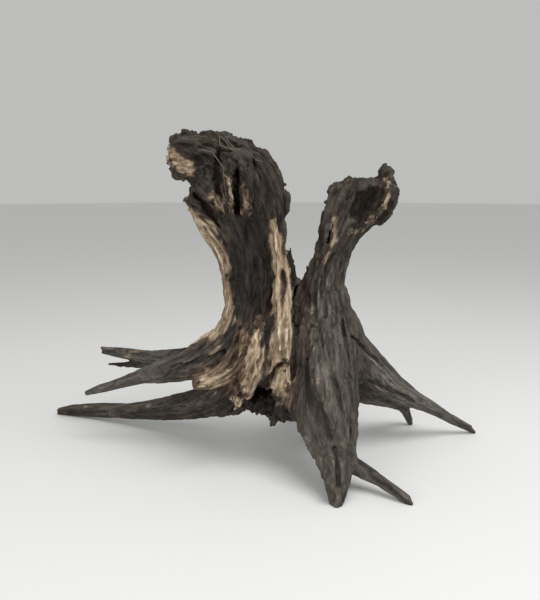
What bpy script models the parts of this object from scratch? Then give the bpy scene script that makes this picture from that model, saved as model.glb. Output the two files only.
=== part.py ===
"""A dry root: the weathered stump of a small two-stemmed tree, standing on its root tips.

Metres, +Z up. The root stands on Z = 0 and its front faces -Y, with the thick left stem at -X.
The wood grew as one piece, so it is one solid: tapered limbs that run into each other, hollowed
where the wood has rotted or split away, and worn flat where its tips bear on the ground.
"""

import math

import bmesh
import bpy
from mathutils import Matrix, Vector, noise

MM = 0.001

# Driving dimensions. The limbs below are laid out to these and follow them when they change.
HEIGHT = 412 * MM  # ground to the top of the left stem's head
LEFT_REACH = 310 * MM  # middle of the stance to the tip of the low left root
RIGHT_REACH = 305 * MM  # middle of the stance to the tip of the right root
FRONT_REACH = 165 * MM  # middle of the stance to the tip of the front foot
BACK_REACH = 165 * MM  # middle of the stance to the tip of the rear root

# The grid on which the limbs grow into one surface, and how far that surface is evened out.
GRID = 3.2 * MM
SMOOTHING_PASSES = 4
# Share of the grown surface's triangles that the finished solid keeps.
KEPT_TRIANGLES = 0.085
# Rings along a limb are this far apart, with this many points round each.
RING_SPACING = 6 * MM
RING_POINTS = 40
# Flutes: the folds that run along every limb, as a share of its radius.
FLUTE_DEPTH = 0.26
FLUTES_ROUND = 2.1
FLUTE_LENGTH = 110 * MM
# A limb starts inside the wood that it grows from, this share of its full width.
BURIED = 0.4
# How far a limb's blunt end bulges, as a share of its thickness.
DOME = 0.35
# How rough the walls of the rotted hollows are, as a share of their radius.
ROT_ROUGHNESS = 0.22

WOOD_COLOUR = (0.060, 0.047, 0.037, 1.0)
WOOD_ROUGHNESS = 0.85


def swelling(route, half_widths, depth):
    """Stations (x, y, z, half width, half thickness) with a width of its own at each point."""
    return [(*point, width, width * depth) for point, width in zip(route, half_widths)]


def tapering(route, base, tip, depth=1.0, taper=1.0):
    """Stations along the route whose half width runs down from the base to the tip."""
    lengths = [0.0]
    for a, b in zip(route, route[1:]):
        lengths.append(lengths[-1] + math.dist(a, b))
    shares = [1 - length / lengths[-1] for length in lengths]
    half_widths = [tip + (base - tip) * share**taper for share in shares]
    half_widths[0] *= BURIED
    return swelling(route, half_widths, depth)


def left_stem():
    """The thick stem, which leans back over to the left in a broken head, and its ridges."""
    return [
        swelling(
            [(5, 5, 72), (0, 0, 125), (-4, 0, 190), (-4, 0, 235), (-7, 0, 275), (-10, 2, 312),
             (-22, 6, 346), (-50, 6, 368), (-77, 0, 378), (-102, -8, 379)],
            [34, 43, 38, 37, 41, 46, 47, 39, 33, 27],
            depth=0.82,
        ),
        # The pale sapwood ridge down the left edge, from the free lip into the left root.
        swelling(
            [(-86, -20, 329), (-72, -16, 308), (-54, -12, 285), (-40, -12, 258), (-32, -10, 228),
             (-31, -10, 190), (-40, -8, 162), (-64, -6, 140), (-95, 0, 122)],
            [5, 9, 12, 12, 12, 12, 14, 13, 10],
            depth=1.25,
        ),
        # The jaw that fills the bend between the lip and the head.
        tapering([(-20, 0, 285), (-44, 0, 306), (-58, -4, 328), (-72, -8, 348)], base=28, tip=14),
        # The pale ridge down the right edge.
        tapering(
            [(20, 0, 345), (22, -14, 300), (26, -22, 262), (32, -30, 222), (34, -44, 165),
             (30, -56, 98)],
            base=10, tip=11, depth=1.4,
        ),
        # The burr on the front of the head.
        swelling(
            [(-20, -26, 292), (-20, -38, 320), (-19, -46, 346), (-21, -38, 378)],
            [8, 14, 17, 12],
            depth=1.1,
        ),
        # The torn spur at the crotch between the stems.
        tapering([(43, -8, 205), (42, -5, 238), (37, -3, 266)], base=13, tip=3),
    ]


def right_stem():
    """The thinner stem, which leans out to the right and flares into a broken cup."""
    return [
        swelling(
            [(90, -5, 78), (90, -8, 125), (86, -10, 178), (84, -5, 225), (96, 0, 262),
             (108, 2, 288), (120, 2, 310), (134, 2, 328), (136, 2, 343)],
            [38, 40, 33, 25, 21, 24, 32, 42, 41],
            depth=0.72,
        ),
        # The ridge beside the slit, on the stem's left.
        tapering([(80, -10, 225), (83, -13, 270), (96, -10, 335)], base=12, tip=11),
        # The hook at the top left corner and the spike at the top right one.
        tapering([(108, -10, 336), (89, -18, 342)], base=11, tip=4),
        swelling([(158, -2, 328), (162, 1, 350), (161, 3, 368)], [11, 7, 2.5], depth=0.8),
    ]


def stump():
    """Where the stems and the roots meet, with the bare folds on its front."""
    return [
        swelling(
            [(52, -2, 225), (51, 0, 204), (49, 0, 176), (46, 2, 142), (42, 8, 102), (34, 12, 76)],
            [6, 14, 33, 55, 60, 44],
            depth=0.76,
        ),
        # The fold that ends in a broken snout.
        swelling(
            [(-2, 0, 262), (-4, -18, 208), (-12, -42, 166), (-26, -52, 135), (-44, -58, 118),
             (-76, -67, 111)],
            [3, 8, 12, 13, 12, 8],
            depth=1.15,
        ),
        # The pale lobe beside it, and its lip along the crevice.
        swelling(
            [(6, 0, 250), (8, -18, 196), (0, -48, 150), (-7, -60, 117), (-14, -60, 94),
             (-27, -56, 75)],
            [3, 8, 13, 16, 12, 4],
            depth=1.1,
        ),
        swelling(
            [(18, 0, 244), (21, -24, 188), (17, -52, 137), (6, -58, 108), (-9, -58, 88)],
            [3, 8, 11, 11, 7],
            depth=1.25,
        ),
        # The rim of the underside, between the lobe and the front foot.
        tapering([(-30, -14, 76), (8, -26, 70), (50, -44, 68)], base=9, tip=11),
    ]


def front_foot():
    """The heavy root that comes forward and down, with a toe to its right."""
    return [
        swelling(
            [(86, 4, 225), (87, -12, 180), (85, -34, 142), (84, -56, 112), (83, -77, 86),
             (85, -100, 60), (91, -120, 42), (93, -138, 24), (88, -161, -4)],
            [9, 22, 29, 31, 31, 26, 20, 13, 5],
            depth=1.05,
        ),
        # The folds down its left and right edges.
        tapering([(72, 4, 215), (60, -22, 165), (48, -48, 112), (45, -66, 86), (64, -107, 56),
                  (87, -150, 12)],
                 base=15, tip=5, depth=1.3),
        tapering([(98, 8, 215), (109, -18, 165), (112, -46, 116), (110, -96, 64),
                  (107, -116, 42), (98, -140, 18)],
                 base=14, tip=6, depth=1.4),
        # The toe.
        tapering([(84, -92, 38), (104, -104, 30), (137, -125, 17), (173, -157, -1)],
                 base=13, tip=4),
    ]


def right_roots():
    """The long right root under its crest, and the fork behind it."""
    return [
        tapering([(88, 0, 220), (98, 2, 168), (125, 10, 126), (172, 25, 82), (235, 46, 44), (270, 58, 21),
                  (304, 64, 1)],
                 base=34, tip=4, depth=1.35, taper=1.25),
        # Its crest.
        tapering([(92, 0, 240), (100, 14, 200), (131, 28, 147), (180, 40, 91), (224, 46, 52)],
                 base=13, tip=6, depth=1.5),
        tapering([(100, 20, 125), (132, 34, 76), (155, 50, 62), (190, 75, 43), (209, 91, 26),
                  (221, 100, -3)],
                 base=22, tip=4, depth=1.2),
        # The fork's prong.
        tapering([(182, 70, 46), (229, 87, 30)], base=6, tip=4, depth=1.2),
    ]


def left_roots():
    """The raised left root, the long low one beneath it, the back root and its twig."""
    return [
        tapering([(20, 0, 190), (0, -8, 150), (-38, -8, 134), (-80, -4, 120), (-157, 10, 97),
                  (-234, 31, 68)],
                 base=38, tip=3, depth=1.1, taper=1.4),
        tapering([(28, 14, 140), (8, 12, 100), (-30, 20, 74), (-72, 45, 53), (-118, 68, 36),
                  (-170, 94, 23), (-232, 120, 11), (-309, 145, 1)],
                 base=29, tip=3, depth=1.2),
        tapering([(-2, 0, 280), (-3, 24, 225), (-4, 32, 180), (-20, 46, 138), (-65, 80, 113),
                  (-130, 110, 99), (-190, 138, 93), (-236, 152, 97)],
                 base=22, tip=5, depth=1.2),
        # The twig beside it.
        tapering([(-120, 104, 93), (-178, 130, 78), (-226, 150, 76)], base=5, tip=3),
    ]


def rear_root():
    """The root behind the stump, which the stance leans back on."""
    return [
        tapering([(54, 6, 214), (54, 22, 186), (56, 38, 150), (60, 52, 105), (60, 90, 55),
                  (62, 130, 28), (66, 159, 3)],
                 base=24, tip=8, depth=1.1),
    ]


# Where the wood has rotted or split away: centre, radii across, deep and high, and the lean of
# the hollow to the left as seen from the front, in degrees.
HOLLOWS = {
    "cup": ((138, -17, 319), (27, 24, 25), -30),
    "broken_head": ((-84, -40, 374), (44, 24, 26), 14),
    "burr_slot": ((-23, -66, 342), (5, 26, 34), 3),
    "slit": ((91, -5, 295), (1.5, 60, 19), -7),
    "crevice": ((16, -66, 84), (12, 30, 32), -42),
    "underside": ((36, 10, 52), (46, 36, 30), 0),
}


def clear_scene():
    for obj in list(bpy.data.objects):
        bpy.data.objects.remove(obj, do_unlink=True)


def to_size(station):
    """A laid-out station in metres, stretched to the driving dimensions."""
    x, y, z, width, thickness = station
    wide = (RIGHT_REACH / 305 if x > 0 else LEFT_REACH / 310)
    deep = (BACK_REACH / 165 if y > 0 else FRONT_REACH / 165)
    return (x * wide, y * deep, z * HEIGHT / 410, width * MM, thickness * MM)


def through(stations, spacing):
    """Stations about `spacing` apart on a smooth Catmull-Rom curve through the given ones."""
    ends = [stations[0], *stations, stations[-1]]
    values = []
    for before, start, end, after in zip(ends, ends[1:], ends[2:], ends[3:]):
        steps = max(1, round((Vector(end[:3]) - Vector(start[:3])).length / spacing))
        for step in range(steps):
            t = step / steps
            values.append(
                tuple(
                    0.5
                    * (
                        2 * b
                        + (c - a) * t
                        + (2 * a - 5 * b + 4 * c - d) * t * t
                        + (3 * b - a - 3 * c + d) * t * t * t
                    )
                    for a, b, c, d in zip(before, start, end, after)
                )
            )
    values.append(tuple(stations[-1]))
    return values


def flute(angle, along, seed):
    """How far a limb's skin stands in or out, as a share of its radius: long folds along the grain."""
    around = FLUTES_ROUND
    point = Vector((around * math.cos(angle), around * math.sin(angle), along / FLUTE_LENGTH + seed))
    fine = Vector((point.x * 2.3, point.y * 2.3, point.z * 1.6 + seed))
    return FLUTE_DEPTH * (noise.noise(point) + 0.45 * noise.noise(fine))


def add_limb(bm, stations, seed):
    """A closed tapered tube through the stations, fluted along its length and round at its ends."""
    path = through([to_size(station) for station in stations], RING_SPACING)
    centres = [Vector(p[:3]) for p in path]
    rings = []
    along = 0.0
    for i, (centre, station) in enumerate(zip(centres, path)):
        ahead = centres[min(i + 1, len(centres) - 1)]
        behind = centres[max(i - 1, 0)]
        tangent = (ahead - behind).normalized()
        across = tangent.cross(Vector((0, 1, 0))).normalized()
        deep = across.cross(tangent)
        along += (centre - centres[max(i - 1, 0)]).length
        ring = []
        for k in range(RING_POINTS):
            angle = 2 * math.pi * k / RING_POINTS
            swell = 1 + flute(angle, along, seed)
            side = across * (station[3] * math.cos(angle)) + deep * (station[4] * math.sin(angle))
            ring.append(bm.verts.new(centre + side * swell))
        rings.append(ring)
    for first, second in zip(rings, rings[1:]):
        for k in range(RING_POINTS):
            after = (k + 1) % RING_POINTS
            bm.faces.new((first[k], first[after], second[after], second[k]))
    for ring, end, inner in ((rings[0], 0, 1), (rings[-1], -1, -2)):
        reach = min(path[end][3], path[end][4]) * DOME
        outward = (centres[end] - centres[inner]).normalized() * reach
        dome = bm.verts.new(centres[end] + outward)
        for k in range(RING_POINTS):
            bm.faces.new((ring[k], ring[(k + 1) % RING_POINTS], dome))


def wood():
    """Bare, sun-greyed wood."""
    material = bpy.data.materials.new("dry_wood")
    material.use_nodes = True
    shader = material.node_tree.nodes["Principled BSDF"]
    shader.inputs["Base Color"].default_value = WOOD_COLOUR
    shader.inputs["Roughness"].default_value = WOOD_ROUGHNESS
    shader.inputs["Metallic"].default_value = 0.0
    return material


def new_object(name, bm):
    mesh = bpy.data.meshes.new(name)
    bmesh.ops.recalc_face_normals(bm, faces=bm.faces)
    bm.to_mesh(mesh)
    bm.free()
    obj = bpy.data.objects.new(name, mesh)
    bpy.context.scene.collection.objects.link(obj)
    return obj


def grow_root():
    """Every limb in one mesh, grown together on the grid."""
    bm = bmesh.new()
    limbs = left_stem() + right_stem() + stump() + front_foot() + right_roots() + left_roots()
    for number, stations in enumerate(limbs + rear_root()):
        add_limb(bm, stations, 7.3 * number)
    root = new_object("dry_root", bm)
    root.data.materials.append(wood())
    grown = root.modifiers.new("grow_together", "REMESH")
    grown.mode = "VOXEL"
    grown.voxel_size = GRID
    evened = root.modifiers.new("even_out", "SMOOTH")
    evened.factor = 0.5
    evened.iterations = SMOOTHING_PASSES
    fewer = root.modifiers.new("fewer_triangles", "DECIMATE")
    fewer.ratio = KEPT_TRIANGLES
    return root


def cut_away(root, cutter):
    """Takes the cutter's shape out of the root."""
    cutter.hide_render = True
    cutter.display_type = "WIRE"
    cut = root.modifiers.new(cutter.name, "BOOLEAN")
    cut.operation = "DIFFERENCE"
    cut.object = cutter


def hollow(name, centre, radii, lean):
    """A rough egg-shaped hollow, as rot and splitting leave it."""
    bm = bmesh.new()
    bmesh.ops.create_icosphere(bm, subdivisions=3, radius=1)
    turn = Matrix.Rotation(math.radians(lean), 4, "Y")
    size = Matrix.Diagonal((*(radius * MM for radius in radii), 1))
    for vert in bm.verts:
        rough = 1 + ROT_ROUGHNESS * noise.noise(vert.co * 2 + Vector(centre))
        vert.co = turn @ size @ (vert.co * rough) + Vector(centre) * MM
    return new_object(name, bm)


def ground():
    """The ground, which has worn the standing tips flat."""
    bm = bmesh.new()
    depth = 100 * MM
    size = Matrix.Diagonal((3 * LEFT_REACH, 3 * LEFT_REACH, depth, 1))
    bmesh.ops.create_cube(bm, size=1, matrix=Matrix.Translation((0, 0, -depth / 2)) @ size)
    return new_object("ground", bm)


def main():
    clear_scene()
    root = grow_root()
    for name, (centre, radii, lean) in HOLLOWS.items():
        cut_away(root, hollow(name, centre, radii, lean))
    cut_away(root, ground())


main()
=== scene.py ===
import math

import bmesh
import bpy
import numpy as np
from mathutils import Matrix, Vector
from mathutils.bvhtree import BVHTree


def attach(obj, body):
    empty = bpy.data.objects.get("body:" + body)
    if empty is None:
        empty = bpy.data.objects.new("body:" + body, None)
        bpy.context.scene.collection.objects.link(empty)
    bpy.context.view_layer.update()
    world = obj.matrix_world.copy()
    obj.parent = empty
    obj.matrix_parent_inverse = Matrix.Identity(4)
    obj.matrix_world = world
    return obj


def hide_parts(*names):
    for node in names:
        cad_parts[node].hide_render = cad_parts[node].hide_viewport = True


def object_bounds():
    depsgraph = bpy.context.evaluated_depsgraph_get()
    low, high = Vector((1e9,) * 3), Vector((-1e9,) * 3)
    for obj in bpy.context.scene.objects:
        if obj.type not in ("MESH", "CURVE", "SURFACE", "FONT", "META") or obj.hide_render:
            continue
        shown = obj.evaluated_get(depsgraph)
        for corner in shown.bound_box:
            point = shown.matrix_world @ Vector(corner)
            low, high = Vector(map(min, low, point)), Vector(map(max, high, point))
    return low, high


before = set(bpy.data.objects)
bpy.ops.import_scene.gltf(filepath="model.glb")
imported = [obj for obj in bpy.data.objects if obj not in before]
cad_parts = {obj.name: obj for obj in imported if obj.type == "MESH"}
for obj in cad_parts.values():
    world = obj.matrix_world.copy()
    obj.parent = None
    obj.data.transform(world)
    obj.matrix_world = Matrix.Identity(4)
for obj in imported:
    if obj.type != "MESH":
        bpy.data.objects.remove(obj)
cad_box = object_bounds()


# The studio. A camera a little above the root, looking slightly down at its front; a pale painted
# floor that runs out to a pale backdrop; a broad soft light overhead to the right and a weaker one
# in front, on the left.


def srgb(code):
    """A linear colour from its sRGB hex code."""
    parts = [int(code[i : i + 2], 16) / 255 for i in (1, 3, 5)]
    linear = [c / 12.92 if c <= 0.04045 else ((c + 0.055) / 1.055) ** 2.4 for c in parts]
    return (*linear, 1.0)


def placed(name, data):
    """A new object in the scene, at the origin."""
    made = bpy.data.objects.new(name, data)
    bpy.context.scene.collection.objects.link(made)
    return made


CAMERA_PLACE = (0.0155, -0.8725, 0.355)  # metres
CAMERA_TILT = 80  # degrees; 90 would look level

camera = placed("camera", bpy.data.cameras.new("camera"))
camera.data.lens = 42
camera.data.sensor_width = 36
camera.location = CAMERA_PLACE
camera.rotation_euler = (math.radians(CAMERA_TILT), 0, 0)
bpy.context.scene.camera = camera
bpy.context.scene.view_settings.view_transform = "Standard"

FLOOR_COLOUR = "#ebebea"
FLOOR_RADIUS = 9.0  # metres, so that its edge is far behind the root
FLOOR_SIDES = 96
BACKDROP_COLOUR = "#bdbebc"

floor_mesh = bpy.data.meshes.new("floor")
floor_shape = bmesh.new()
bmesh.ops.create_circle(floor_shape, cap_ends=True, segments=FLOOR_SIDES, radius=FLOOR_RADIUS)
floor_shape.to_mesh(floor_mesh)
floor_shape.free()
floor = placed("floor", floor_mesh)

# Painted board: nearly white, rolled on, with only a faint broad sheen.
painted_board = bpy.data.materials.new("painted_board")
painted_board.use_nodes = True
board_shader = painted_board.node_tree.nodes["Principled BSDF"]
board_shader.inputs["Base Color"].default_value = srgb(FLOOR_COLOUR)
board_shader.inputs["Roughness"].default_value = 0.55
floor_mesh.materials.append(painted_board)

world = bpy.data.worlds.new("pale_room")
bpy.context.scene.world = world
world.use_nodes = True
backdrop = world.node_tree.nodes["Background"]
backdrop.inputs["Color"].default_value = srgb(BACKDROP_COLOUR)
backdrop.inputs["Strength"].default_value = 1.0

LIGHTS_AIM = Vector((0, 0, 0.15))
for name, place, size, watts in (
    ("overhead_light", (0.55, -0.55, 1.5), 1.1, 16),
    ("front_light", (-0.9, -1.5, 0.9), 1.2, 9),
):
    lamp = placed(name, bpy.data.lights.new(name, "AREA"))
    lamp.data.size = size
    lamp.data.energy = watts
    lamp.location = place
    lamp.rotation_euler = (LIGHTS_AIM - Vector(place)).to_track_quat("-Z", "Y").to_euler()


# The dry root. One piece of hardwood, dead for years: its bark is gone and its surface is weathered
# to a furrowed grey brown skin, with the pale wood bare where that has flaked off. It is grown as a
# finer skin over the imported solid, and stays inside the solid's box.

MM = 0.001
SKIN_GRID = 1.45 * MM
SKIN_TRIANGLES = 190_000
EVENING_PASSES = 3

# The grain's course: each line runs from a root tip up through the stump into a stem, in mm.
GRAIN_LINES = (
    [(88, -160, 0), (91, -120, 42), (84, -70, 95), (85, -20, 155), (84, -5, 225), (100, 0, 268),
     (135, 0, 345)],
    [(172, -156, 0), (137, -124, 18), (100, -95, 45), (90, -50, 115), (86, -10, 180),
     (84, -5, 225)],
    [(304, 64, 0), (235, 46, 44), (172, 26, 84), (125, 12, 130), (98, 4, 180), (86, -2, 230),
     (97, 0, 262)],
    [(221, 100, 0), (190, 75, 43), (132, 34, 78), (104, 16, 130), (92, 4, 190)],
    [(-234, 31, 68), (-157, 10, 97), (-80, -4, 120), (-42, -8, 145), (-22, -8, 185), (-18, -6, 240),
     (-28, -8, 285), (-60, -12, 315), (-84, -16, 332)],
    [(-309, 145, 0), (-170, 94, 23), (-72, 45, 53), (-20, 18, 90), (0, 8, 140), (-2, 4, 200),
     (-5, 0, 260), (-8, 2, 315), (-24, 6, 348), (-50, 6, 368), (-102, -8, 380)],
    [(-236, 152, 97), (-130, 110, 99), (-65, 80, 113), (-20, 46, 138), (-4, 32, 190), (-4, 24, 250),
     (-2, 20, 315), (-20, 20, 352), (-60, 20, 375)],
    [(66, 159, 0), (60, 90, 55), (58, 45, 120), (60, 24, 180), (72, 10, 225), (92, 6, 262)],
    [(-78, -67, 111), (-44, -58, 118), (-22, -50, 140), (-8, -38, 178), (2, -24, 225)],
    [(-27, -56, 75), (-12, -60, 100), (0, -52, 140), (10, -34, 185), (14, -24, 230), (10, -24, 290),
     (-4, -34, 330)],
    [(26, -56, 80), (31, -54, 120), (34, -44, 165), (31, -30, 225), (24, -18, 285), (16, -10, 330),
     (-4, -4, 372), (-40, -4, 390)],
)

# What has rotted out or split, on the front: depth, then (x, z, half width) along it, all in mm.
SPLITS = (
    (12, [(50, 222, 3), (46, 205, 3), (44, 180, 3), (43, 150, 3), (42, 116, 3)]),
    (6, [(-14, 290, 6), (-5, 245, 10), (3, 205, 11), (6, 172, 6)]),
    (11, [(61, 140, 3), (60, 120, 6), (62, 104, 9), (68, 92, 10), (76, 80, 8), (84, 66, 4)]),
    (9, [(87, 58, 2), (90, 40, 3), (90, 20, 4)]),
    (17, [(37, 134, 2), (26, 132, 3), (18, 120, 4), (9, 108, 5), (-3, 97, 5), (-14, 83, 4)]),
    (20, [(28, 92, 4), (14, 91, 8), (1, 86, 7), (-9, 80, 4)]),
    (5, [(15, 178, 2), (12, 152, 3), (14, 132, 2)]),
    (8, [(-25, 114, 4), (-19, 100, 5)]),
    (7, [(-20, 176, 2), (-25, 150, 4), (-32, 132, 4)]),
    (12, [(-46, 386, 3), (-47, 350, 5), (-43, 312, 3)]),
    (8, [(-4, 380, 2), (-3, 345, 3), (-6, 306, 2)]),
    (20, [(-22, 374, 2), (-22, 350, 4), (-23, 312, 4)]),
    (5, [(-34, 374, 2), (-35, 332, 2)]),
    (5, [(-11, 374, 2), (-12, 330, 2)]),
    (16, [(-76, 334, 3), (-62, 318, 7), (-47, 296, 3)]),
    (9, [(-53, 326, 4), (-52, 322, 4)]),
    (9, [(-43, 327, 3), (-42, 323, 3)]),
    (60, [(90, 308, 2), (88, 292, 2.4), (86, 276, 2)]),
    (6, [(94, 264, 2), (80, 226, 3), (76, 180, 3), (80, 140, 2)]),
    (5, [(106, 262, 2), (98, 222, 3), (97, 180, 2)]),
    (7, [(104, 182, 2), (110, 140, 3), (112, 96, 4), (106, 60, 2)]),
    (4, [(92, 124, 2), (97, 98, 3), (99, 66, 3)]),
    (9, [(114, 163, 2), (137, 138, 3), (157, 118, 3), (187, 98, 2)]),
    (7, [(138, 99, 2), (152, 92, 3), (172, 82, 3), (190, 72, 3), (208, 60, 2)]),
    (6, [(31, 243, 2), (32, 226, 4), (31, 210, 2)]),
    (5, [(-64, 296, 2), (-42, 262, 3), (-27, 222, 3), (-25, 184, 3)]),
    (6, [(-40, 142, 2), (-70, 130, 3), (-110, 116, 2)]),
    (5, [(-60, 84, 2), (-110, 66, 3), (-170, 46, 3), (-230, 28, 2)]),
    (5, [(64, 212, 2), (60, 180, 3), (60, 150, 2)]),
)

# What stands proud of it, on the front: height, then (x, z, half width).
RIDGES = (
    (8, [(2, 180, 4), (-6, 150, 9), (-6, 126, 13), (-12, 104, 10), (-24, 86, 6), (-32, 75, 3)]),
    (9, [(28, 126, 6), (25, 110, 11), (24, 98, 9)]),
    (5, [(22, 290, 3), (27, 240, 5), (32, 200, 6), (30, 150, 6)]),
    (5, [(92, 262, 4), (99, 300, 6), (101, 326, 6), (106, 344, 4)]),
    (5, [(-33, 364, 3), (-32, 326, 4)]),
    (5, [(-12, 364, 3), (-13, 326, 4)]),
    (4, [(76, 120, 6), (92, 86, 8), (104, 50, 6)]),
    (5, [(-56, 112, 5), (-70, 114, 4)]),
)

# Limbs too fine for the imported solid, and the gaps cut through it: (x, y, z, radius) along each.
FINE_LIMBS = (
    [(104, -16, 345, 5), (96, -19, 343, 4.5), (91, -20, 337, 3.5), (91, -21, 330, 2)],
    [(108, -14, 340, 7), (110, -12, 352, 5), (111, -10, 357, 1.5)],
    [(112, -14, 351, 4), (128, -14, 347, 4), (146, -10, 350, 5)],
    [(148, -6, 344, 7), (153, -4, 358, 4.5), (157, -2, 370, 1)],
    [(156, -12, 344, 4), (163, -10, 330, 4), (160, -12, 314, 3)],
    [(110, -34, 290, 3), (122, -37, 291, 3.5), (138, -35, 301, 3.5), (151, -30, 319, 3.5),
     (157, -24, 338, 3)],
    [(-140, 112, 88, 3), (-190, 138, 82, 2.8), (-228, 151, 76, 1.8)],
    [(-130, 108, 100, 4), (-190, 132, 101, 5), (-238, 152, 101, 2.4)],
    [(-130, 108, 98, 4), (-190, 132, 96, 4), (-238, 153, 94, 2.0)],
    [(-92, 0, 398, 8), (-86, 0, 407, 3)],
    [(-58, 2, 398, 6), (-54, 2, 406, 2)],
    [(24, -6, 298, 8), (31, -6, 316, 8), (32, -6, 334, 5)],
    [(28, -6, 222, 9), (34, -5, 246, 7), (38, -4, 258, 5), (40, -3, 265, 2)],
    [(60, -6, 220, 7), (61, -6, 236, 5), (64, -6, 243, 3)],
    [(-150, 86, 30, 5), (-230, 117, 19, 7.5), (-280, 134, 12, 6.5), (-304, 142, 7, 4)],
    [(-140, 8, 96, 5), (-206, 24, 79, 6.5), (-231, 31, 69, 3.5)],
    [(36, -66, 90, 10), (27, -64, 76, 8), (20, -61, 65, 5), (15, -60, 57, 1.5)],
    [(2, -52, 82, 7), (-3, -54, 72, 4), (-5, -55, 67, 1.5)],
    [(-22, -48, 84, 6), (-27, -50, 75, 3)],
    [(86, -146, 26, 12), (88, -150, 8, 9), (88, -152, 1, 8)],
    [(130, -118, 22, 5), (156, -142, 10, 6), (168, -152, 5, 4.5)],
    [(220, 44, 48, 4), (268, 56, 24, 6), (296, 62, 8, 4.5)],
)
GAPS = (
    [(158, -44, 342, 7), (138, -40, 322, 15), (122, -38, 312, 13), (114, -38, 300, 7)],
    [(114, -36, 344, 6), (130, -36, 341, 10), (150, -36, 342, 9)],
    [(-100, -34, 386, 10), (-74, -48, 372, 17), (-54, -50, 352, 13), (-50, -46, 334, 6)],
    [(-71, -60, 411, 5), (-71, 0, 410, 5.5), (-70, 40, 411, 5)],
    [(-248, 155, 98, 2.0), (-206, 140, 98, 1.2)],
    [(-318, 146, 8, 1.6), (-286, 136, 11, 1.2), (-262, 126, 14, 0.6)],
    [(79, -60, 319, 6), (79, 60, 319, 6)],
    [(82, -60, 331, 6), (82, 60, 331, 6)],
    [(122, 20, 372, 12), (130, -60, 368, 11)],
    [(143, -60, 367, 7.5), (143, 40, 367, 7.5)],
    [(176, -60, 366, 11), (176, 40, 366, 11)],
)
TUBE_SIDES = 10
IN_FRONT = -400  # mm: clear of the root, to look back at it from
ANY_SLANT = Vector((0.21, 0.35, 0.91))  # along no limb, so that it gives each one a side
MERGE_GAP = 0.01 * MM

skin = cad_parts["dry_root"].copy()
skin.data = skin.data.copy()
skin.name = "weathered_root"
skin.data.materials.clear()
bpy.context.scene.collection.objects.link(skin)
merged = bmesh.new()
merged.from_mesh(skin.data)
bmesh.ops.remove_doubles(merged, verts=merged.verts, dist=MERGE_GAP)
merged.to_mesh(skin.data)
front = BVHTree.FromBMesh(merged)
merged.free()


def laid(route, depth):
    """Centres and the two half axes of a stroke's rings, where it lies on the front of the wood."""
    middle = [Vector((x, 0, z)) * MM for x, z, half in route]
    rings = []
    for index, (x, z, half) in enumerate(route):
        hit = front.ray_cast(Vector((x, IN_FRONT, z)) * MM, Vector((0, 1, 0)))[0]
        hit = hit or Vector((x, 0, z)) * MM
        way = middle[min(index + 1, len(route) - 1)] - middle[max(index - 1, 0)]
        side = way.cross(Vector((0, 1, 0))).normalized()
        rings.append((hit, side * half * MM, Vector((0, depth * MM, 0)), way.normalized()))
    return rings


def round_rings(route):
    """The same for a round limb in the open."""
    middle = [Vector((x, y, z)) * MM for x, y, z, radius in route]
    rings = []
    for index, (x, y, z, radius) in enumerate(route):
        way = (middle[min(index + 1, len(route) - 1)] - middle[max(index - 1, 0)]).normalized()
        side = way.cross(ANY_SLANT).normalized() * radius * MM
        rings.append((middle[index], side, way.cross(side), way))
    return rings


def tube(name, rings):
    """A closed tube through rings, with a short point at each end."""
    shape = bmesh.new()
    loops = []
    turns = [2 * math.pi * k / TUBE_SIDES for k in range(TUBE_SIDES)]
    for centre, side, up, way in rings:
        spots = [centre + side * math.cos(turn) + up * math.sin(turn) for turn in turns]
        loops.append([shape.verts.new(spot) for spot in spots])
    for near, far in zip(loops, loops[1:]):
        for k in range(TUBE_SIDES):
            after = (k + 1) % TUBE_SIDES
            shape.faces.new((near[k], near[after], far[after], far[k]))
    for end, sign in ((0, -1), (-1, 1)):
        loop = loops[end]
        centre, side, up, way = rings[end]
        tip = shape.verts.new(centre + way * sign * side.length)
        for k in range(TUBE_SIDES):
            shape.faces.new((loop[k], loop[(k + 1) % TUBE_SIDES], tip))
    bmesh.ops.recalc_face_normals(shape, faces=shape.faces)
    mesh = bpy.data.meshes.new(name)
    shape.to_mesh(mesh)
    shape.free()
    return placed(name, mesh)


def settle(piece):
    """Turns a piece and its modifiers into one plain mesh."""
    seen = piece.evaluated_get(bpy.context.evaluated_depsgraph_get())
    shape = bpy.data.meshes.new_from_object(seen)
    piece.modifiers.clear()
    piece.data = shape


adds = [tube("ridge", laid(route, height)) for height, route in RIDGES]
adds += [tube("fine_limb", round_rings(route)) for route in FINE_LIMBS]
cuts = [tube("gap", round_rings(route)) for route in GAPS]
cuts += [tube("split", laid(route, depth)) for depth, route in SPLITS]
for operation, tools in (("UNION", adds), ("DIFFERENCE", cuts)):
    for tool in tools:
        modifier = skin.modifiers.new(tool.name, "BOOLEAN")
        modifier.operation = operation
        modifier.solver = "MANIFOLD"
        modifier.object = tool
remesh = skin.modifiers.new("skin", "REMESH")
remesh.mode = "VOXEL"
remesh.voxel_size = SKIN_GRID
even = skin.modifiers.new("even_out", "SMOOTH")
even.factor = 0.5
even.iterations = EVENING_PASSES
settle(skin)
for tool in adds + cuts:
    bpy.data.objects.remove(tool)


def keep_largest(mesh):
    """Drops the crumbs that the gaps cut loose, so that one piece is left."""
    shape = bmesh.new()
    shape.from_mesh(mesh)
    unseen = set(shape.verts)
    islands = []
    while unseen:
        waiting = [unseen.pop()]
        island = list(waiting)
        while waiting:
            for edge in waiting.pop().link_edges:
                for vertex in edge.verts:
                    if vertex in unseen:
                        unseen.remove(vertex)
                        waiting.append(vertex)
                        island.append(vertex)
        islands.append(island)
    islands.sort(key=len)
    for island in islands[:-1]:
        bmesh.ops.delete(shape, geom=island, context="VERTS")
    shape.to_mesh(mesh)
    shape.free()


keep_largest(skin.data)

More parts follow.
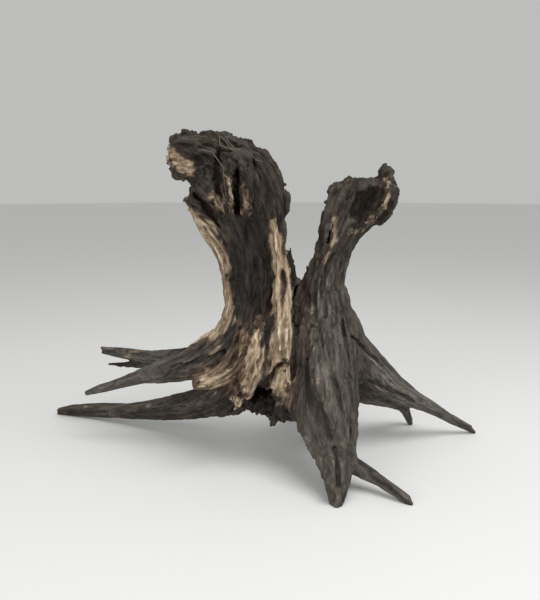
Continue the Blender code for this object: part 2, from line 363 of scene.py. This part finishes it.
# A lattice of fixed random values, from which all the noise is read.
LATTICE = 64
LATTICE_SEED = 20
SEED_STRIDE = 7.31  # how far along the lattice each seed starts
lattice = np.random.default_rng(LATTICE_SEED).uniform(-1, 1, LATTICE**3)


def smooth_noise(points, seed):
    """Smooth random values, about -1 to 1, on the lattice at unit spacing."""
    moved = points + seed * SEED_STRIDE
    cell = np.floor(moved).astype(np.int64)
    part = moved - cell
    part = part * part * (3 - 2 * part)
    near = cell & (LATTICE - 1)
    far = (cell + 1) & (LATTICE - 1)
    x = (near[:, 0] * LATTICE**2, far[:, 0] * LATTICE**2)
    y = (near[:, 1] * LATTICE, far[:, 1] * LATTICE)
    z = (near[:, 2], far[:, 2])
    a, b, c = part.T
    total = np.zeros(len(points))
    for i, share_x in ((0, 1 - a), (1, a)):
        for j, share_y in ((0, 1 - b), (1, b)):
            row = x[i] + y[j]
            pair = lattice[row + z[0]] * (1 - c) + lattice[row + z[1]] * c
            total += pair * share_x * share_y
    return total


def rough_noise(points, spacing, seed, octaves=3):
    """Noise with no direction, in octaves, for rot and for how the weathering varies."""
    total = np.zeros(len(points))
    for octave in range(octaves):
        total += smooth_noise(points / spacing * 2**octave, seed + octave) / 2**octave
    return total


def smoothstep(low, high, value):
    """0 below low to 1 above high, eased at both ends."""
    share = np.clip((value - low) / (high - low), 0, 1)
    return share * share * (3 - 2 * share)


BEND_PASSES = 6


def evenly(points, spacing):
    """Rounds a line of points in mm off, and gives points about `spacing` apart along it and the
    line's direction at each."""
    points = np.array(points, float) * MM
    lengths = np.linalg.norm(np.diff(points, axis=0), axis=1)
    along = np.concatenate([[0], np.cumsum(lengths)])
    wanted = np.linspace(0, along[-1], max(2, int(along[-1] / spacing)))
    places = np.stack([np.interp(wanted, along, points[:, k]) for k in range(3)], axis=1)
    for _ in range(BEND_PASSES):
        places[1:-1] = (places[:-2] + 2 * places[1:-1] + places[2:]) / 4
    ways = np.gradient(places, axis=0)
    return places, ways / np.linalg.norm(ways, axis=1, keepdims=True)


# The grain's direction on a grid through the wood, from the lines laid along the limbs.
GRAIN_CELL = 8 * MM
GRAIN_SPREAD = 7 * MM  # how far one line holds the grain to its own way
lines = [evenly(line, GRAIN_CELL) for line in GRAIN_LINES]
line_points = np.concatenate([places for places, ways in lines])
line_ways = np.concatenate([ways for places, ways in lines])
field_low = np.array(cad_box[0]) - 3 * GRAIN_CELL
field_cells = np.ceil((np.array(cad_box[1]) - field_low) / GRAIN_CELL).astype(int) + 4
field = np.zeros((*field_cells, 3))
for i in range(field_cells[0]):
    for j in range(field_cells[1]):
        column = np.zeros((field_cells[2], 3))
        column[:] = field_low + np.array([i, j, 0]) * GRAIN_CELL
        column[:, 2] += np.arange(field_cells[2]) * GRAIN_CELL
        far = ((column[:, None] - line_points) ** 2).sum(axis=2)
        weight = 1 / (far + GRAIN_SPREAD**2) ** 2.5
        field[i, j] = weight @ line_ways
field /= np.linalg.norm(field, axis=3, keepdims=True) + 1e-12


def grain_way(points):
    """The grain's direction at each point, read from the field."""
    place = np.clip((points - field_low) / GRAIN_CELL, 0, field_cells - 1.001)
    cell = place.astype(int)
    part = place - cell
    total = np.zeros_like(points)
    for corner in range(8):
        step = np.array([corner & 1, corner >> 1 & 1, corner >> 2 & 1])
        share = np.where(step, part, 1 - part).prod(axis=1)
        x, y, z = (cell + step).T
        total += share[:, None] * field[x, y, z]
    return total / (np.linalg.norm(total, axis=1, keepdims=True) + 1e-12)


def grain_paths(points, stride, steps):
    """Where each point gets to along the grain, both ways, a stride at a time."""
    paths = [points]
    for sign in (1, -1):
        walker = points
        for _ in range(steps):
            walker = walker + sign * stride * grain_way(walker)
            paths.append(walker)
    return paths


def streaks(paths, spacing, seed):
    """Noise drawn out along the grain: the mean over each point's path, about -1 to 1."""
    total = sum(smooth_noise(path / spacing, seed) for path in paths)
    return total / (total.std() * 2)


def read(mesh, of="vertices", what="co"):
    """A mesh's vertex places, or its normals, as an array."""
    values = np.zeros(len(mesh.vertices) * 3, np.float32)
    getattr(mesh, of).foreach_get(what, values)
    return values.reshape(-1, 3).astype(float)


def boxed(places):
    """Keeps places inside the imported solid's box."""
    return np.clip(places, low, high)


def write_places(mesh, places):
    mesh.vertices.foreach_set("co", places.astype(np.float32).ravel())
    mesh.update()


def nearness(points, outward, route, ragged, reach=1.0):
    """1 on a given stroke over the front and 0 off it. The route is (x, z, half width) in mm;
    ragged pushes its edge in and out, in mm."""
    spot = points[:, [0, 2]] / MM
    best = np.full(len(points), -1e9)
    for (ax, az, a_half), (bx, bz, b_half) in zip(route, route[1:]):
        run = np.array([bx - ax, bz - az], float)
        share = np.clip((spot - (ax, az)) @ run / (run @ run), 0, 1)
        gap = np.linalg.norm(spot - (ax, az) - share[:, None] * run, axis=1)
        best = np.maximum(best, a_half + (b_half - a_half) * share - gap)
    facing = smoothstep(0.35, 0.0, outward[:, 1])
    return smoothstep(-reach, reach, best + ragged) * facing


def thickness(points):
    """How thick the wood is, from near 0 at the root tips to 1 in the stump and stems."""
    x, y, z = (points / MM).T
    out = np.maximum(np.abs(x - 15) / 150, np.abs(y) / 130)
    return np.clip(1.25 - out, 0.14, 1)


def rot(points, outward):
    """Where the wood has rotted and broken: the head's mouth and lip, the cup, the underside."""
    x, y, z = (points / MM).T
    head = smoothstep(-34, -62, x + 0.10 * (z - 370)) * smoothstep(318, 345, z)
    crown = smoothstep(384, 400, z)
    cup = smoothstep(104, 122, x) * smoothstep(282, 300, z)
    lip = smoothstep(-60, -78, x) * smoothstep(296, 312, z)
    below = smoothstep(-0.2, -0.6, outward[:, 2]) * smoothstep(110, 85, z)
    below *= smoothstep(95, 55, np.abs(x - 25))
    return np.clip(head + crown + cup + lip + below, 0, 1)


BOX_MARGIN = 0.05 * MM
low = np.array(cad_box[0]) + BOX_MARGIN
high = np.array(cad_box[1]) - BOX_MARGIN
low[2] = 0

# Weathering in two passes, all in mm. First the long folds and ribs, and the lumps of rotted wood.
FOLD_DEPTH, FOLD_SPACING = 3.6, 15
RIB_DEPTH, RIB_SPACING = 2.0, 7
CRUMB_DEPTH, CRUMB_SPACING = 4.0, 9
LUMP_DEPTH, LUMP_SPACING = 1.5, 34
# Then the furrows, the fine grain and the drying cracks.
FURROW_DEPTH, FURROW_SPACING = 2.8, 4.6
GRAIN_DEPTH, GRAIN_SPACING = 1.15, 2.7
FLAKE_DEPTH, FLAKE_SPACING = 1.5, 8  # how deep the bare wood lies, and how ragged its edge is
BAND_SPACING = 12
PIT_DEPTH, PIT_SPACING = 1.0, 5
CRACK_DEPTH = 2.6
SOLE = (0.5, 3.0)  # the height over which the worn feet turn into weathered skin
SHORT_STRIDE, LONG_STRIDE = 3, 6  # the steps along the grain that noise is drawn out over

places = read(skin.data)
outward = read(skin.data, "vertex_normals", "vector")
paths = grain_paths(places, SHORT_STRIDE * MM, 12)
long_paths = grain_paths(places, LONG_STRIDE * MM, 13)
short_paths = paths[:7] + paths[13:19]  # the nearest six steps each way
thick = thickness(places)
rotten = rot(places, outward)
fold = streaks(long_paths, FOLD_SPACING * MM, 11)
rib = streaks(paths, RIB_SPACING * MM, 23)
furrow = streaks(paths, FURROW_SPACING * MM, 41)
grain = streaks(short_paths, GRAIN_SPACING * MM, 43)
band = streaks(long_paths, BAND_SPACING * MM, 47)
other_band = streaks(long_paths, BAND_SPACING * MM, 53)
lumps = rough_noise(places, LUMP_SPACING * MM, 37, 2)
crumbly = rough_noise(places, CRUMB_SPACING * MM, 31)

rise = FOLD_DEPTH * thick * (1 - 0.6 * rotten) * (np.clip(np.abs(fold) * 1.6, 0, 1) - 0.6)
rise += RIB_DEPTH * thick * (np.clip(np.abs(rib) * 1.7, 0, 1) - 0.6)
rise += CRUMB_DEPTH * rotten * np.clip(crumbly, -1.2, 0.5) + LUMP_DEPTH * thick * lumps
weathered = smoothstep(*SOLE, places[:, 2] / MM)
first = boxed(places + outward * (rise * weathered)[:, None] * MM)
write_places(skin.data, first)
outward = read(skin.data, "vertex_normals", "vector")

# The bare pale wood on the front, where the weathered skin has come away: strength, then
# (x, z, half width) along it.
BARE_PATCHES = (
    (0.8, [(-90, 322, 4), (-78, 308, 8), (-62, 292, 10), (-52, 275, 10), (-45, 256, 10),
           (-41, 218, 9), (-39, 194, 10), (-44, 178, 10), (-58, 165, 8), (-84, 151, 4),
           (-120, 136, 2)]),
    (1.0, [(20, 298, 6), (24, 272, 9), (28, 250, 11), (32, 214, 14), (31, 183, 12), (29, 154, 12),
           (26, 125, 13), (24, 96, 11)]),
    (1.0, [(4, 186, 3), (-4, 152, 10), (-6, 124, 13), (-14, 100, 9), (-30, 77, 4)]),
    (0.9, [(-30, 122, 5), (-46, 116, 7), (-64, 116, 5)]),
    (1.0, [(-110, 388, 6), (-97, 374, 9), (-82, 360, 8)]),
    (1.0, [(-31, 352, 3), (-30, 318, 4)]),
    (1.0, [(-13, 346, 3), (-12, 312, 5)]),
    (0.9, [(-57, 330, 4), (-50, 332, 6), (-44, 318, 6)]),
    (0.8, [(84, 262, 1.5), (83, 250, 2.5), (82, 238, 1.5)]),
    (0.7, [(95, 306, 1.5), (94, 288, 2.5), (91, 276, 1.5)]),
    (0.5, [(66, 200, 1), (68, 160, 2), (70, 120, 1)]),
    (0.7, [(114, 289, 2), (126, 290, 2), (140, 301, 2), (152, 319, 2), (158, 338, 2)]),
    (0.7, [(158, 352, 2), (157, 338, 2)]),
    (0.5, [(-110, 144, 2), (-160, 118, 2), (-200, 92, 2)]),
)
ragged = 2.6 * furrow + 1.8 * grain + 1.8 * rough_noise(places, FLAKE_SPACING * MM, 61)
bare = np.zeros(len(places))
for strength, route in BARE_PATCHES:
    bare = np.maximum(bare, strength * nearness(places, outward, route, ragged, 0.8))
flakes = band + 0.5 * crumbly + 0.4 * furrow
bare = np.maximum(bare, 0.4 * smoothstep(1.35, 1.5, flakes) * (1 - rotten))
# Painted shade in the splits: the deeper a split, the darker it is painted, up to the darkest.
DARKEST_SPLIT = 0.85
DARK_DEPTH = 14  # mm, over which a split darkens
split = np.zeros(len(places))
for depth, route in SPLITS:
    strength = min(DARKEST_SPLIT, depth / DARK_DEPTH)
    split = np.maximum(split, strength * nearness(places, outward, route, -1.5 + 0.8 * furrow, 2.0))
bare *= 1 - smoothstep(0.3, 0.8, split)

# Round the bare wood on the stump the skin is worn thin, and shows a mid brown: (x, z, half width).
THIN_PATCHES = (
    [(-16, 170, 8), (-16, 140, 18), (-20, 116, 22), (-30, 92, 14), (-34, 78, 5)],
    [(-36, 122, 12), (-60, 116, 13), (-76, 114, 7)],
    [(-60, 166, 10), (-84, 152, 9), (-118, 138, 5)],
    [(27, 150, 14), (26, 120, 17), (24, 96, 13)],
)
thin = np.zeros(len(places))
for route in THIN_PATCHES:
    thin = np.maximum(thin, nearness(places, outward, route, 2.0 * ragged, 5.0))
worn_through = smoothstep(0.55, 0.85, np.abs(furrow)) * smoothstep(0.2, -0.4, other_band)
bare *= 1 - 0.6 * worn_through

x, y, z = (places / MM).T
smooth_foot = smoothstep(-45, -80, y) * smoothstep(150, 100, z)
valleys = np.clip(np.abs(furrow) * 1.8, 0, 1) - 0.6
rise = -FLAKE_DEPTH * (0.4 + 0.6 * thick) * bare
rise += FURROW_DEPTH * thick * valleys * (1 - 0.35 * bare) * (1 - 0.5 * smooth_foot)
rise += GRAIN_DEPTH * (0.3 + 0.7 * thick) * grain * (1 - 0.3 * smooth_foot)
rise += PIT_DEPTH * rotten * np.clip(rough_noise(places, PIT_SPACING * MM, 73), -1.3, 0.8)
crack = smoothstep(0.14, 0.0, np.abs(band)) * smoothstep(0.1, 0.5, other_band)
rise -= CRACK_DEPTH * thick * crack
write_places(skin.data, boxed(first + outward * (rise * weathered)[:, None] * MM))

# What colours the wood, 0 to 1 at each point. Hollow is painted shade down in the furrows, folds,
# cracks and splits; inside is painted shade in the rotted mouths, the cup, the crevices and under
# the stump; silver is the paler skin low on the roots; red is dark red rot.
# Painted shade: darker down in the furrows, folds, cracks and splits.
hollow = smoothstep(0.32, 0.0, np.abs(furrow)) * (1 - 0.3 * bare) * (1 - 0.3 * smooth_foot)
hollow += 0.6 * smoothstep(0.25, 0.0, np.abs(fold)) * thick + crack + split
hollow = np.clip(hollow, 0, 1)
# Painted shade, darkest down in the rotted mouths, the cup, the crevices between the stems and
# under the stump.
inside = np.zeros(len(places))
for share, centre, radii in (
    (0.15, (136, -15, 320), (28, 24, 30)),
    (0.6, (-78, -42, 372), (36, 26, 27)),
    (1.0, (-22, -60, 344), (6, 30, 36)),
    (1.0, (12, -58, 84), (28, 26, 20)),
    (1.0, (36, 6, 55), (52, 44, 30)),
    (1.0, (-8, -40, 250), (27, 40, 75)),
    (0.5, (2, -40, 330), (30, 40, 60)),
):
    reach = np.linalg.norm((places / MM - centre) / radii, axis=1)
    inside = np.maximum(inside, share * smoothstep(1.25, 0.7, reach))
silver = np.max([
    0.75 * smoothstep(110, 170, x) * smoothstep(230, 150, z),
    0.75 * smoothstep(-90, -150, x) * smoothstep(76, 92, z - 0.25 * (y - 120)),
    0.14 * smoothstep(-60, -110, x),
    0.40 * smoothstep(46, 66, x) * smoothstep(300, 200, z),
], axis=0)
silver = np.clip(silver + 0.22 * band + 0.12 * lumps, 0, 1)
red = np.zeros(len(places))
for route in (
    [(31, 243, 3), (32, 226, 5), (31, 210, 3)],
    [(-26, 116, 6), (-18, 98, 6)],
    [(-76, 334, 4), (-62, 318, 7), (-47, 296, 4)],
):
    red = np.maximum(red, nearness(places, outward, route, furrow, 1.5))

marks = {
    "bare": bare, "thin": thin, "hollow": hollow, "inside": inside, "silver": silver, "red": red,
    "band": band, "other_band": other_band, "grain": grain,
}
for name, values in marks.items():
    layer = skin.data.attributes.new(name, "FLOAT", "POINT")
    layer.data.foreach_set("value", values.astype(np.float32))

fewer = skin.modifiers.new("fewer", "DECIMATE")
fewer.ratio = min(1, SKIN_TRIANGLES / (2 * len(skin.data.polygons)))
settle(skin)
write_places(skin.data, boxed(read(skin.data)))


def node(tree, kind, settings=None, **inputs):
    """Adds a node. Settings are its properties; an input is a value or another node's output."""
    made = tree.nodes.new(kind)
    for name, value in (settings or {}).items():
        setattr(made, name, value)
    for name, value in inputs.items():
        key = int(name[1:]) if name[0] == "_" and name[1:].isdigit() else name.replace("_", " ")
        if isinstance(value, bpy.types.NodeSocket):
            tree.links.new(value, made.inputs[key])
        else:
            made.inputs[key].default_value = value
    return made


# Weathered hardwood. Sun and water turn the skin a dull grey brown, and painted shade makes it
# darker down in the furrows and in the rotted mouths; the bare wood is tan, streaked along the
# grain. Nothing on it shines.
THREAD = 1.6  # mm: finer threads of the grain wouldn't show, so they are drawn as coarse as this
THREAD_LENGTH = 71.4  # mm before a streak changes
BROAD_THREAD = 5.33  # mm across a bundle of threads
MOTTLE = 16.7  # mm across a patch of weathering
SPECK = 2.38  # mm across the pits
RELIEF = 1.6 * MM

weathered_wood = bpy.data.materials.new("weathered_hardwood")
weathered_wood.use_nodes = True
tree = weathered_wood.node_tree
shader = tree.nodes["Principled BSDF"]
shader.inputs["Roughness"].default_value = 0.82
shader.inputs["IOR"].default_value = 1.5
shader.inputs["Specular IOR Level"].default_value = 0.25
painted = {
    name: node(tree, "ShaderNodeAttribute", {"attribute_name": name}).outputs["Fac"]
    for name in marks
}

# The bands stay the same along the grain, so they make the coordinates of the streaks.
place = node(tree, "ShaderNodeTexCoord").outputs["Object"]
apart = node(tree, "ShaderNodeSeparateXYZ", None, Vector=place)
course = node(
    tree, "ShaderNodeMath", {"operation": "ADD"}, _0=apart.outputs["Z"], _1=apart.outputs["X"]
)
across = [
    node(tree, "ShaderNodeMath", {"operation": "MULTIPLY"}, _0=value, _1=share).outputs[0]
    for value, share in (
        (painted["band"], BAND_SPACING / THREAD), (painted["other_band"], BAND_SPACING / THREAD),
        (course.outputs[0], 1 / (THREAD_LENGTH * MM)),
    )
]
thread = node(tree, "ShaderNodeCombineXYZ", None, X=across[0], Y=across[1], Z=across[2]).outputs[0]
fine, broad, mottle, specks = (
    node(
        tree, "ShaderNodeTexNoise", None,
        Vector=spot, Scale=scale, Detail=detail, Roughness=roughness,
    ).outputs[0]
    for spot, scale, detail, roughness in (
        (thread, 1.0, 3.0, 0.6), (thread, THREAD / BROAD_THREAD, 2.0, 0.5),
        (place, 1 / (MOTTLE * MM), 5.0, 0.65), (place, 1 / (SPECK * MM), 3.0, 0.6),
    )
)

# Each tone, and the height of the fine relief, is a level and shares of the noises.
sums = {}
for name, level, shares in (
    ("skin_tone", 0.175, ((painted["grain"], 0.056), (fine, 0.35), (broad, 0.15), (mottle, 0.15))),
    ("bare_tone", 0.175, ((painted["grain"], 0.056), (fine, 0.4), (broad, 0.25))),
    ("height", 0.0, ((fine, 0.7), (specks, 0.3))),
):
    total = level
    for part, share in shares:
        total = node(
            tree, "ShaderNodeMath", {"operation": "MULTIPLY_ADD"}, _0=part, _1=share, _2=total
        ).outputs[0]
    sums[name] = total

# A colour for each tone, from dark to pale.
shades = {}
for name, tone, stops in (
    ("dark_skin", sums["skin_tone"],
     ((0.37, "#221d1b"), (0.46, "#373029"), (0.54, "#48403a"), (0.66, "#716659"))),
    ("silver_skin", sums["skin_tone"],
     ((0.37, "#403c38"), (0.46, "#5c5751"), (0.54, "#756f68"), (0.66, "#a0988e"))),
    ("thin_skin", sums["bare_tone"],
     ((0.38, "#33271f"), (0.48, "#6a5444"), (0.58, "#8f775f"), (0.68, "#b09a80"))),
    ("pale_wood", sums["bare_tone"],
     ((0.36, "#4c3b2e"), (0.43, "#8b745c"), (0.50, "#b9a185"), (0.58, "#d6c4a8"),
      (0.68, "#e6dac4"))),
    ("rot", mottle, ((0.50, "#000000"), (0.64, "#ffffff"))),
):
    made = node(tree, "ShaderNodeValToRGB", None, Fac=tone)
    elements = made.color_ramp.elements
    while len(elements) < len(stops):
        elements.new(0.5)
    for element, (where, code) in zip(elements, stops):
        element.position = where
        element.color = srgb(code)
    shades[name] = made.outputs["Color"]

# Each coat has a name, what lies under it, where it shows and how strongly, and its own colour.
for name, under, shown, strength, over in (
    ("old_bare_wood", "pale_wood", shades["rot"], 0.45, "#6b4f3c"),
    ("silvered", "dark_skin", painted["silver"], 1.0, "silver_skin"),
    ("browned", "silvered", shades["rot"], 0.2, "#493629"),
    ("thinned", "browned", painted["thin"], 0.75, "thin_skin"),
    ("bared", "thinned", painted["bare"], 1.0, "old_bare_wood"),
    # Painted shade down in the furrows, folds, cracks and splits.
    ("shaded", "bared", painted["hollow"], 0.66, "#191412"),
    ("reddened", "shaded", painted["red"], 0.7, "#3c2a24"),
    # Painted shade in the rotted mouths, the cup, the crevices and under the stump.
    ("whole", "reddened", painted["inside"], 0.62, "#1f1b1a"),
):
    share = node(tree, "ShaderNodeMath", {"operation": "MULTIPLY"}, _0=shown, _1=strength)
    shades[name] = node(
        tree, "ShaderNodeMix", {"data_type": "RGBA"},
        _0=share.outputs[0], _6=shades[under], _7=shades[over] if over in shades else srgb(over),
    ).outputs[2]
relief = node(tree, "ShaderNodeBump", None, Height=sums["height"], Strength=1.0, Distance=RELIEF)
tree.links.new(shades["whole"], shader.inputs["Base Color"])
tree.links.new(relief.outputs[0], shader.inputs["Normal"])

skin.data.materials.clear()
skin.data.materials.append(weathered_wood)
for face in skin.data.polygons:
    face.use_smooth = True
    face.material_index = 0
skin.data.update()
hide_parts("dry_root")
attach(skin, "root")


# The splinters. Torn fibres along the broken rims, and the ragged ends that hang under the stump.
# Each is a stub of the same wood, a few millimetres long, tapered and set at its own angle.


def growing_tree(name, **inputs):
    """A Geometry Nodes tree with these inputs and its geometry, and what it is given for them."""
    made = bpy.data.node_groups.new(name, "GeometryNodeTree")
    for socket, kind in {"Geometry": "Geometry", **inputs}.items():
        made.interface.new_socket(socket, in_out="INPUT", socket_type="NodeSocket" + kind)
    made.interface.new_socket("Geometry", in_out="OUTPUT", socket_type="NodeSocketGeometry")
    return made, node(made, "NodeGroupInput").outputs


def grown(name, spots, joins, tree, **values):
    """A plain piece, made by a tree on the lines that join spots."""
    line = bpy.data.meshes.new(name)
    line.from_pydata(spots, joins, [])
    piece = placed(name, line)
    grower = piece.modifiers.new(tree.name, "NODES")
    grower.node_group = tree
    for socket in tree.interface.items_tree:
        if socket.in_out == "INPUT" and socket.name in values:
            grower[socket.identifier] = values[socket.name]
    settle(piece)
    write_places(piece.data, boxed(read(piece.data)))
    return piece


splinter_tree, given = growing_tree(
    "splinters", Spacing="Float", Length="Float", Width="Float", Centre="Vector", Lean="Vector",
    Seed="Int", Wood="Material",
)
chances = []
for offset, least, most in (
    (1, (-0.4, -0.4, -0.4), (0.4, 0.4, 0.4)),
    (2, (-0.6, -0.6, -0.6), (0.6, 0.6, 0.6)),
    (3, (0.5, 0.3, 0.3), (1, 0.7, 1)),
):
    seed = node(
        splinter_tree, "ShaderNodeMath", {"operation": "ADD"}, _0=given["Seed"], _1=offset
    )
    chances.append(node(
        splinter_tree, "FunctionNodeRandomValue", {"data_type": "FLOAT_VECTOR"},
        _0=least, _1=most, Seed=seed.outputs[0],
    ).outputs[0])
jitter, tilt, stretch = chances
rim_curve = node(splinter_tree, "GeometryNodeMeshToCurve", None, Mesh=given["Geometry"])
dots = node(
    splinter_tree, "GeometryNodeCurveToPoints", {"mode": "LENGTH"},
    Curve=rim_curve.outputs[0], Length=given["Spacing"],
)
push = node(
    splinter_tree, "ShaderNodeVectorMath", {"operation": "SCALE"}, _0=jitter, Scale=given["Width"]
)
moved = node(
    splinter_tree, "GeometryNodeSetPosition", None, Geometry=dots.outputs[0], Offset=push.outputs[0]
)
stub = node(
    splinter_tree, "GeometryNodeMeshCone", {"fill_type": "NGON"},
    Vertices=5, Radius_Top=0.22, Radius_Bottom=0.5, Depth=1.0,
)
spot = node(splinter_tree, "GeometryNodeInputPosition")
heading = node(
    splinter_tree, "ShaderNodeVectorMath", {"operation": "SUBTRACT"},
    _0=spot.outputs[0], _1=given["Centre"],
)
for operation, more in (("NORMALIZE", (0, 0, 0)), ("ADD", given["Lean"]), ("ADD", tilt)):
    heading = node(
        splinter_tree, "ShaderNodeVectorMath", {"operation": operation},
        _0=heading.outputs[0], _1=more,
    )
turn = node(
    splinter_tree, "FunctionNodeAlignRotationToVector", {"axis": "Z"}, Vector=heading.outputs[0]
)
usual = node(
    splinter_tree, "ShaderNodeCombineXYZ", None,
    X=given["Width"], Y=given["Width"], Z=given["Length"],
)
size = node(
    splinter_tree, "ShaderNodeVectorMath", {"operation": "MULTIPLY"},
    _0=usual.outputs[0], _1=stretch,
)
stubs = node(
    splinter_tree, "GeometryNodeInstanceOnPoints", None,
    Points=moved.outputs[0], Instance=stub.outputs[0], Rotation=turn.outputs[0],
    Scale=size.outputs[0],
)
whole = node(splinter_tree, "GeometryNodeRealizeInstances", None, Geometry=stubs.outputs[0])
wooden = node(
    splinter_tree, "GeometryNodeSetMaterial", None,
    Geometry=whole.outputs[0], Material=given["Wood"],
)
node(splinter_tree, "NodeGroupOutput", None, Geometry=wooden.outputs[0])

# Each rim is a line in mm, with its splinters' spacing, length and width in mm, the point that they
# point away from, the way they lean and the seed.
RIMS = {
    "crown": (
        [(-106, -12, 388), (-98, -8, 402), (-88, -6, 408), (-76, -6, 406), (-62, -4, 405),
         (-46, 0, 403), (-28, 2, 398), (-8, 4, 388), (8, 4, 376), (22, 4, 360), (32, 2, 342),
         (36, 2, 322)],
        8, 5, 7, (-30, 0, 330), (0.6, -0.2, -0.5), 10,
    ),
    "mouth": (
        [(-108, -20, 390), (-114, -20, 374), (-108, -26, 358), (-92, -30, 348), (-76, -34, 342)],
        7, 4, 6, (-70, -10, 370), (0, -0.3, -0.5), 10,
    ),
    "spur": ([(30, -6, 262), (36, -6, 266), (42, -4, 262)], 3, 7, 4, (36, 0, 230), (0, 0, 0.5), 9),
    "crotch_chip": ([(58, -6, 244), (66, -6, 244)], 3, 5, 4, (60, 0, 220), (0, 0, 0.5), 16),
    "cup_rim": (
        [(96, -20, 343), (110, -14, 355), (120, -12, 350), (132, -12, 350), (146, -10, 352),
         (156, -4, 366), (162, -8, 350), (166, -10, 330), (160, -12, 308)],
        8, 4, 6, (130, 10, 318), (0, 0, -0.3), 12,
    ),
    "fringe": (
        [(-34, -48, 80), (-16, -54, 76), (0, -56, 72), (12, -58, 66), (22, -62, 68), (34, -72, 76)],
        2.5, 9, 6, (0, 0, 120), (0.2, -0.3, -0.2), 11,
    ),
}
RIM_STEP = 3 * MM
surface = BVHTree.FromPolygons(
    [v.co.copy() for v in skin.data.vertices], [tuple(p.vertices) for p in skin.data.polygons]
)
for name, (rim, spacing, length, width, centre, lean, seed) in RIMS.items():
    on_wood = [surface.find_nearest(Vector(point))[0] for point in evenly(rim, RIM_STEP)[0]]
    steps = zip(on_wood, on_wood[1:])
    joins = [(k, k + 1) for k, (a, b) in enumerate(steps) if (a - b).length < 2 * RIM_STEP]
    splinters = grown(
        name + "_splinters", on_wood, joins, splinter_tree,
        Spacing=spacing * MM, Length=length * MM, Width=width * MM, Centre=Vector(centre) * MM,
        Lean=lean, Seed=seed, Wood=weathered_wood,
    )
    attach(splinters, "root")


# The rootlets. Hair roots of some small plant that have dried on to the head: brown threads about
# a millimetre thick, which wander over the wood and lie on it.

rootlet_tree, wanted = growing_tree("rootlets", Thickness="Float", Skin="Material")
half = node(
    rootlet_tree, "ShaderNodeMath", {"operation": "MULTIPLY"}, _0=wanted["Thickness"], _1=0.5
)
ring = node(
    rootlet_tree, "GeometryNodeCurvePrimitiveCircle", None, Resolution=5, Radius=half.outputs[0]
)
runs = node(rootlet_tree, "GeometryNodeMeshToCurve", None, Mesh=wanted["Geometry"])
threads = node(
    rootlet_tree, "GeometryNodeCurveToMesh", None,
    Curve=runs.outputs[0], Profile_Curve=ring.outputs[0], Fill_Caps=True,
)
joined = node(rootlet_tree, "GeometryNodeRealizeInstances", None, Geometry=threads.outputs[0])
coated = node(
    rootlet_tree, "GeometryNodeSetMaterial", None,
    Geometry=joined.outputs[0], Material=wanted["Skin"],
)
node(rootlet_tree, "NodeGroupOutput", None, Geometry=coated.outputs[0])

# Dried root bark: matt grey brown, all one colour at this thickness.
dried_rootlet = bpy.data.materials.new("dried_rootlet")
dried_rootlet.use_nodes = True
rootlet_shader = dried_rootlet.node_tree.nodes["Principled BSDF"]
rootlet_shader.inputs["Base Color"].default_value = srgb("#74675a")
rootlet_shader.inputs["Roughness"].default_value = 0.8

ROOTLET_RUNS = (
    [(-48, -30, 404), (-38, -34, 396), (-26, -38, 392), (-17, -38, 393), (-8, -36, 388)],
    [(-42, -24, 402), (-32, -34, 392), (-24, -42, 386)],
    [(-62, -38, 389), (-54, -44, 377), (-46, -50, 362), (-48, -52, 346), (-46, -50, 334)],
    [(-22, -46, 384), (-8, -42, 382), (6, -34, 374)],
    [(-34, -30, 399), (-22, -32, 398), (-14, -34, 392)],
)
ROOTLET_THICKNESS = 0.9 * MM
ROOTLET_LIFT = 0.5 * MM
ROOTLET_STEP = 2 * MM
ROOTLET_SWAY = 2 * MM
ROOTLET_EVENING = 4
spots, edges = [], []
for run in ROOTLET_RUNS:
    course = []
    for index, point in enumerate(evenly(run, ROOTLET_STEP)[0]):
        sway = Vector((math.sin(0.5 * index), 0, math.cos(0.7 * index))) * ROOTLET_SWAY
        hit, normal = surface.find_nearest(Vector(point) + sway)[:2]
        course.append(hit + normal * ROOTLET_LIFT)
    for _ in range(ROOTLET_EVENING):
        ends = zip(course, course[1:], course[2:])
        course[1:-1] = [(before + 2 * here + after) / 4 for before, here, after in ends]
    edges += [(len(spots) + k, len(spots) + k + 1) for k in range(len(course) - 1)]
    spots += course
rootlets = grown(
    "rootlets", spots, edges, rootlet_tree, Thickness=ROOTLET_THICKNESS, Skin=dried_rootlet
)
for face in rootlets.data.polygons:
    face.use_smooth = True
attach(rootlets, "root")
